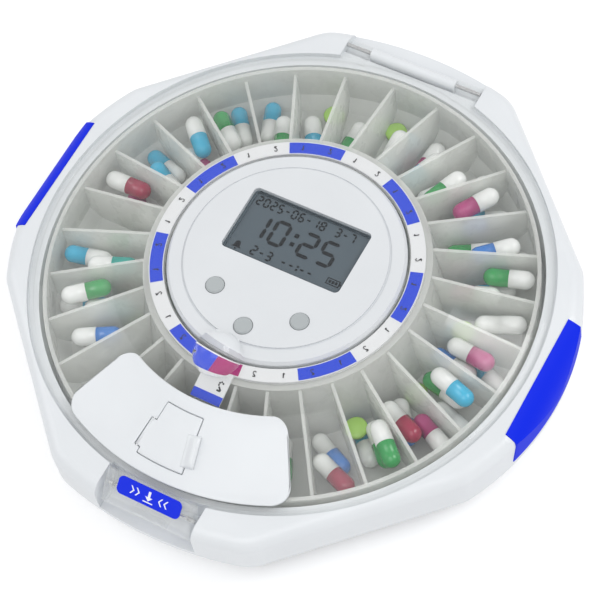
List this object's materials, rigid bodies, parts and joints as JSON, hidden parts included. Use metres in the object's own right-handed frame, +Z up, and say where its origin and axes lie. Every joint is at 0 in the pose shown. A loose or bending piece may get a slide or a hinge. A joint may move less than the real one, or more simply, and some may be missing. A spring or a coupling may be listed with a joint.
{
  "type": "automatic pill dispenser",
  "caption": "Round automatic pill dispenser on an eight-sided base with blue grips, a clear hinged lid, a dispensing flap, a turning tray, a display and buttons.",
  "frame": {"origin": "on the floor under the middle of the hub, on the tray's axis", "axes": "+Z up; the press latch faces -Y, the lid's hinge is at +Y, +X is the side of the right grip"},
  "size_m": [0.2206, 0.2218, 0.0572],
  "materials": {
    "white_plastic": "satin",
    "blue_grip": "satin",
    "clear_plastic": "polished",
    "clear_window": "polished",
    "milky_plastic": "satin",
    "printed_ring": "satin",
    "grey_button": "matte",
    "display_grey": "satin",
    "grey_plastic": "matte",
    "black_plastic": "matte",
    "board_green": "satin",
    "battery_wrap": "gloss",
    "zinc_steel": "satin",
    "polished_steel": "polished",
    "foot_rubber": "matte",
    "label_blue": "gloss"
  },
  "bodies": {
    "base": {"base_housing": "white_plastic", "left_grip": "blue_grip", "right_grip": "blue_grip", "bottom_cover": "white_plastic", "battery_door": "white_plastic", "rubber_feet": "foot_rubber", "base_screws": "zinc_steel", "battery_door_screw": "zinc_steel", "batteries": "battery_wrap", "battery_contacts": "zinc_steel", "gearbox_case": "grey_plastic", "motor": "zinc_steel", "circuit_board": "board_green", "board_screws": "zinc_steel", "tact_switches": "black_plastic", "buzzer": "black_plastic", "hub_cover": "white_plastic", "display_window": "clear_window", "lcd_panel": "display_grey", "lcd_frame": "grey_plastic", "hinge_pin": "polished_steel"},
    "tray": {"pill_tray": "milky_plastic", "dose_ring": "printed_ring"},
    "pinion": {"drive_pinion": "grey_plastic"},
    "lid": {"lid": "clear_plastic", "lid_panel": "white_plastic", "magnifier_lens": "clear_plastic", "flap_pin": "polished_steel", "latch_pin": "polished_steel"},
    "flap": {"dispensing_flap": "white_plastic"},
    "latch": {"press_latch": "clear_plastic", "latch_label": "label_blue"},
    "button_left": {"button_left": "grey_button", "plunger_left": "black_plastic"},
    "button_middle": {"button_middle": "grey_button", "plunger_middle": "black_plastic"},
    "button_right": {"button_right": "grey_button", "plunger_right": "black_plastic"}
  },
  "joints": [
    {"name": "tray_spin", "type": "hinge", "parent": "base", "child": "tray", "pos_m": [0, 0, 0.013], "axis": [0, 0, 1], "continuous": true},
    {"name": "pinion_spin", "type": "hinge", "parent": "base", "child": "pinion", "pos_m": [0, 0.0375, 0.033], "axis": [0, 0, 1], "continuous": true},
    {"name": "lid_hinge", "type": "hinge", "parent": "base", "child": "lid", "pos_m": [0, 0.1012, 0.036], "axis": [-1, 0, 0], "range_deg": [0, 100]},
    {"name": "flap_hinge", "type": "hinge", "parent": "lid", "child": "flap", "pos_m": [-0.01256, -0.08306, 0.04227], "axis": [-0.1424, -0.9415, -0.3054], "range_deg": [0, 110]},
    {"name": "latch_press", "type": "hinge", "parent": "lid", "child": "latch", "pos_m": [0, -0.1025, 0.033], "axis": [-1, 0, 0], "range_deg": [0, 8], "stiffness_Nm_per_rad": 0.12, "springref_deg": -4.58},
    {"name": "press_left", "type": "slide", "parent": "base", "child": "button_left", "axis": [0, 0, -1], "range_m": [0, 0.0008], "stiffness_N_per_m": 1500, "springref_m": -0.0003},
    {"name": "press_middle", "type": "slide", "parent": "base", "child": "button_middle", "axis": [0, 0, -1], "range_m": [0, 0.0008], "stiffness_N_per_m": 1500, "springref_m": -0.0003},
    {"name": "press_right", "type": "slide", "parent": "base", "child": "button_right", "axis": [0, 0, -1], "range_m": [0, 0.0008], "stiffness_N_per_m": 1500, "springref_m": -0.0003}
  ],
  "couplings": [
    {"joint": "pinion_spin", "follows": "tray_spin", "ratio": 4.5714}
  ]
}
